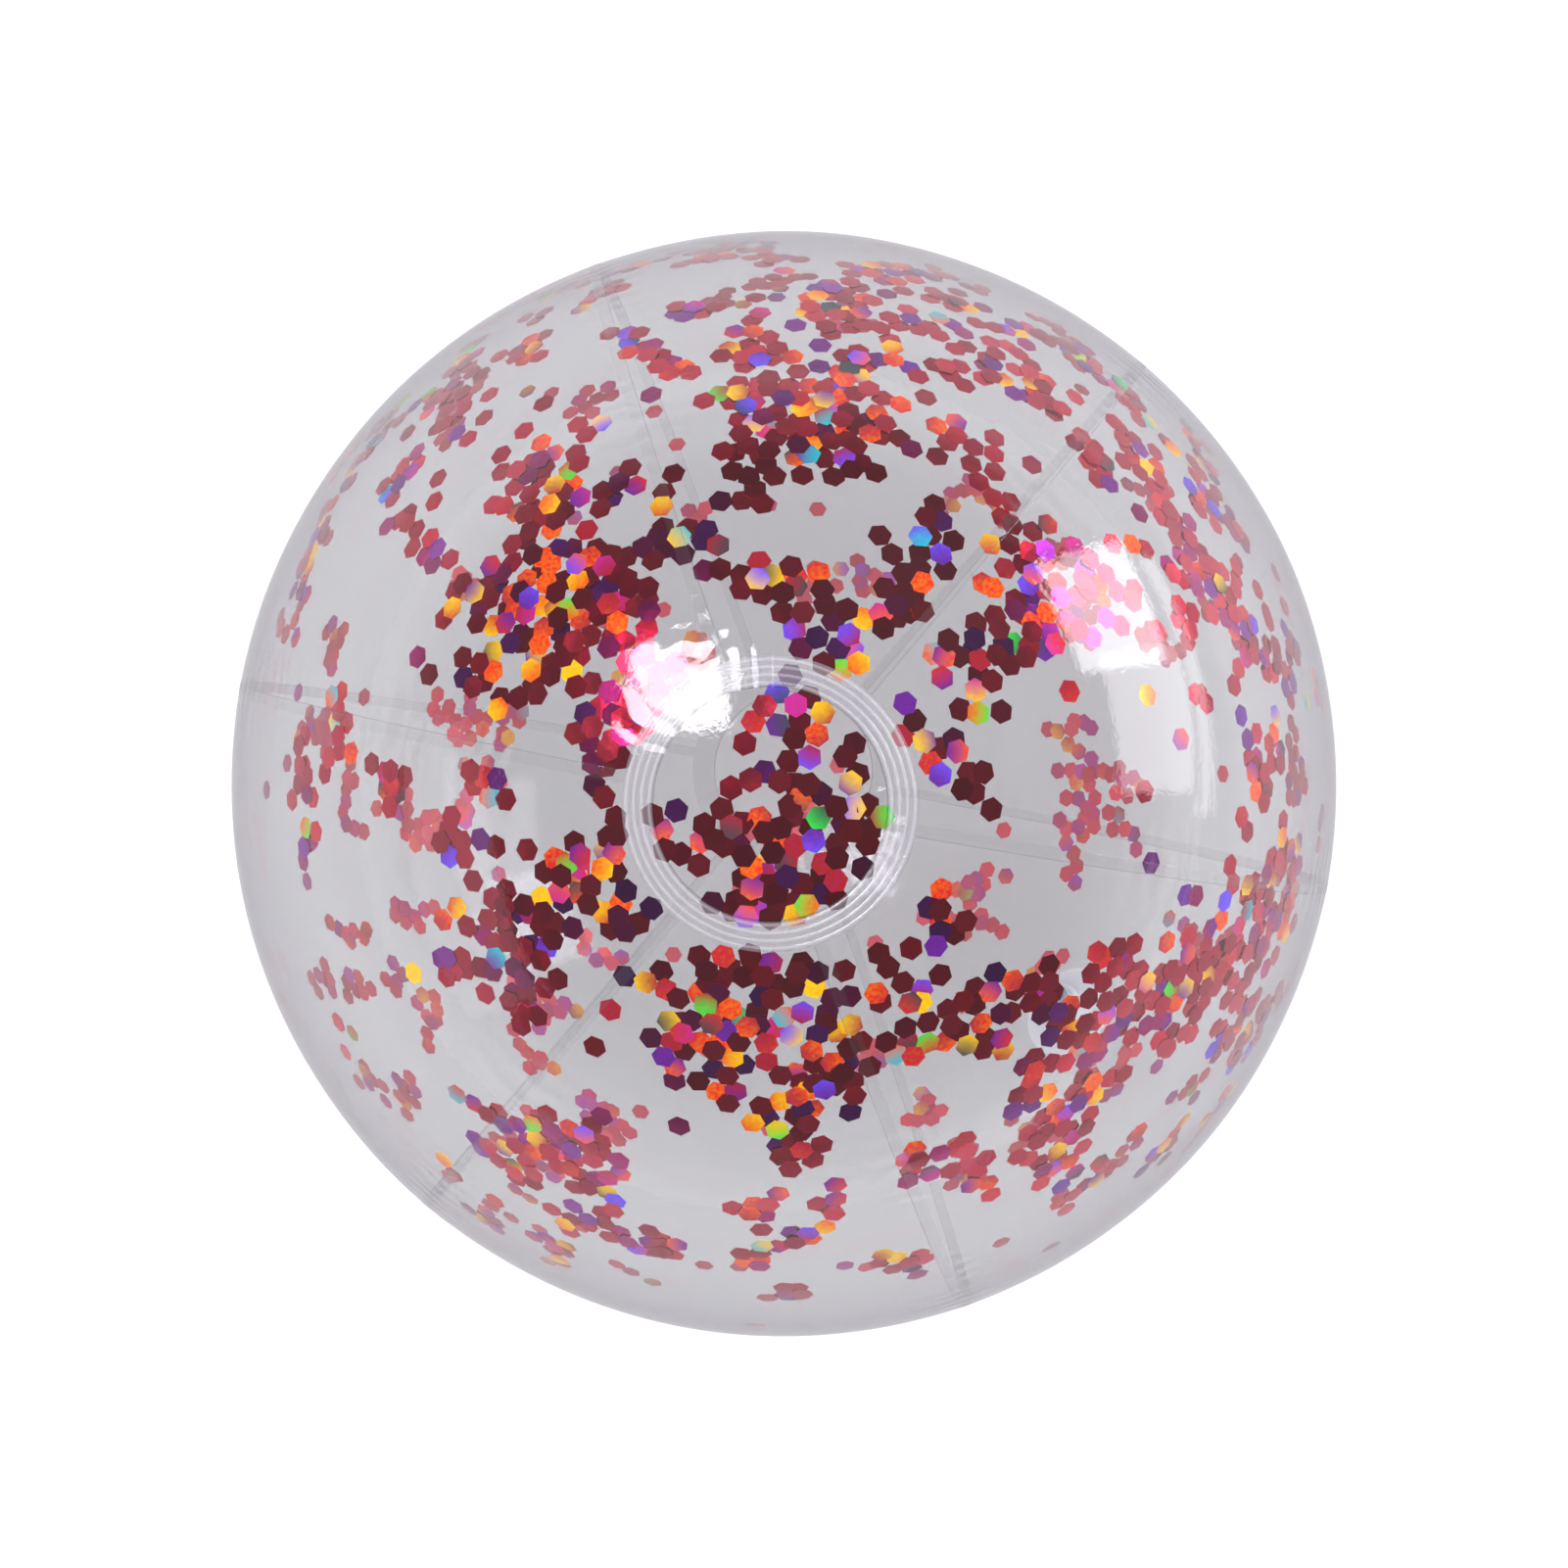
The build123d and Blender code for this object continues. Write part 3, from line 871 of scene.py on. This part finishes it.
def flange_weld():
    """The fine weld lines round the valve, raised on the film over its flange."""
    verts, faces = [], []
    across = VALVE_SIDE.cross(VALVE_OUT)
    for away in FLANGE_LINES:
        first = len(verts)
        for turn in range(LINE_TURNS):
            angle = math.tau * turn / LINE_TURNS
            side = VALVE_SIDE * math.cos(angle) + across * math.sin(angle)
            for place, height in LINE_PROFILE:
                lean = (away + place * LINE_HALF) / BALL_R
                out = VALVE_OUT * math.cos(lean) + side * math.sin(lean)
                polar = math.acos(out.z)
                azimuth = math.atan2(out.y, out.x) % math.tau
                verts.append(out * (film_radius(azimuth, polar) + height * LINE_HEIGHT))
        count = len(LINE_PROFILE)
        for turn in range(LINE_TURNS):
            a = first + turn * count
            b = first + (turn + 1) % LINE_TURNS * count
            for step in range(count):
                after = (step + 1) % count
                faces.append((a + step, a + after, b + after, b + step))
    return verts, faces


lines = new_object("flange_weld_lines", *flange_weld(), weld_line)
outward(lines)
crisp(lines)
lines.visible_shadow = False
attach(lines, "ball")
web = new_object("valve_web_film", *valve_web(), vinyl)
outward(web)
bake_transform(web)
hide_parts("valve_web")
tether = new_object("plug_strap", *plug_tether(), vinyl)
outward(tether)
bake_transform(tether)
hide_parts("plug_tether")


# ------------------------------------------------------------------ floor and light
def floor():
    """A plain pale floor under the ball."""
    material, tree = new_material("pale_floor")
    paint = node(tree, "ShaderNodeBsdfDiffuse", Color=(0.60, 0.60, 0.605, 1))
    output = node(tree, "ShaderNodeOutputMaterial")
    tree.links.new(paint.outputs[0], output.inputs["Surface"])
    reach = 6.0
    corners = [(-reach, -reach), (reach, -reach), (reach, reach), (-reach, reach)]
    verts = [(x, y, FLOOR_Z) for x, y in corners]
    new_object("floor", verts, [(0, 1, 2, 3)], material, smooth=False)


def world():
    """A studio room that is dark overhead and brighter near the floor."""
    made = bpy.data.worlds.new("studio")
    bpy.context.scene.world = made
    made.use_nodes = True
    tree = made.node_tree
    tree.nodes.clear()
    link = tree.links.new
    place = node(tree, "ShaderNodeTexCoord")
    split = node(tree, "ShaderNodeSeparateXYZ")
    link(place.outputs["Generated"], split.inputs[0])
    shade = ramp(tree, [(0.0, 0.95), (0.06, 0.80), (0.18, 0.40), (0.36, 0.19), (1.0, 0.16)])
    link(split.outputs["Z"], shade.inputs[0])
    back = node(tree, "ShaderNodeBackground", Strength=1.4)
    link(shade.outputs[0], back.inputs["Color"])
    output = node(tree, "ShaderNodeOutputWorld")
    link(back.outputs[0], output.inputs["Surface"])


CAMERA_TILT = math.radians(2.1)
CAMERA_AZIMUTH = math.radians(5.7)
CAMERA_UP = math.radians(40.35)  # the azimuth that is upwards in the picture
CAMERA_DISTANCE = 5 * BALL_R
CAMERA_LENS, CAMERA_SENSOR = 62.3, 36
camera_back = direction(CAMERA_AZIMUTH, CAMERA_TILT)
camera_right = direction(CAMERA_UP, math.pi / 2).cross(camera_back).normalized()
camera_up = camera_back.cross(camera_right)


def camera():
    """The camera almost straight above the top disc."""
    data = bpy.data.cameras.new("camera")
    data.lens = CAMERA_LENS
    data.sensor_width = CAMERA_SENSOR
    made = bpy.data.objects.new("camera", data)
    bpy.context.scene.collection.objects.link(made)
    turn = Matrix((camera_right, camera_up, camera_back)).transposed().to_4x4()
    made.matrix_world = Matrix.Translation(camera_back * CAMERA_DISTANCE) @ turn
    bpy.context.scene.camera = made


def panel_light(name, clock, off_axis, distance, width, height, radiance):
    """A rectangular light that faces the ball. clock is its direction in the picture,
    off_axis its angle from the camera's line, both in degrees."""
    a, off = math.radians(clock), math.radians(off_axis)
    side = camera_right * math.cos(a) + camera_up * math.sin(a)
    out = camera_back * math.cos(off) + side * math.sin(off)
    data = bpy.data.lights.new(name, "AREA")
    data.shape = "RECTANGLE"
    data.size, data.size_y = width, height
    data.energy = radiance * math.pi * width * height
    made = bpy.data.objects.new(name, data)
    bpy.context.scene.collection.objects.link(made)
    across = camera_up.cross(out).normalized()
    turn = Matrix((across, out.cross(across), out)).transposed().to_4x4()
    made.matrix_world = Matrix.Translation(out * distance) @ turn


def overhead():
    """Soft light from above that brings the floor to white and makes no highlight."""
    data = bpy.data.lights.new("overhead", "SUN")
    data.energy = 4.5
    data.angle = math.radians(70)
    made = bpy.data.objects.new("overhead", data)
    bpy.context.scene.collection.objects.link(made)
    made.visible_glossy = False


floor()
world()
camera()
overhead()
# Name, clock, off_axis, distance, width, height, radiance
panel_light("softbox", 137, 25.6, 1.2, 0.40, 0.32, 12.0)
panel_light("window_upper", 29, 72, 1.2, 0.44, 0.40, 6.2)
panel_light("window_lower", 10, 74, 1.2, 0.42, 0.46, 3.0)
panel_light("window_side", 14, 87, 1.2, 0.08, 0.80, 2.8)
panel_light("reflector", 195, 66, 1.3, 0.45, 1.1, 0.6)

settings = bpy.context.scene
settings.view_settings.view_transform = "Standard"
settings.cycles.transparent_max_bounces = 64
settings.cycles.max_bounces = 10
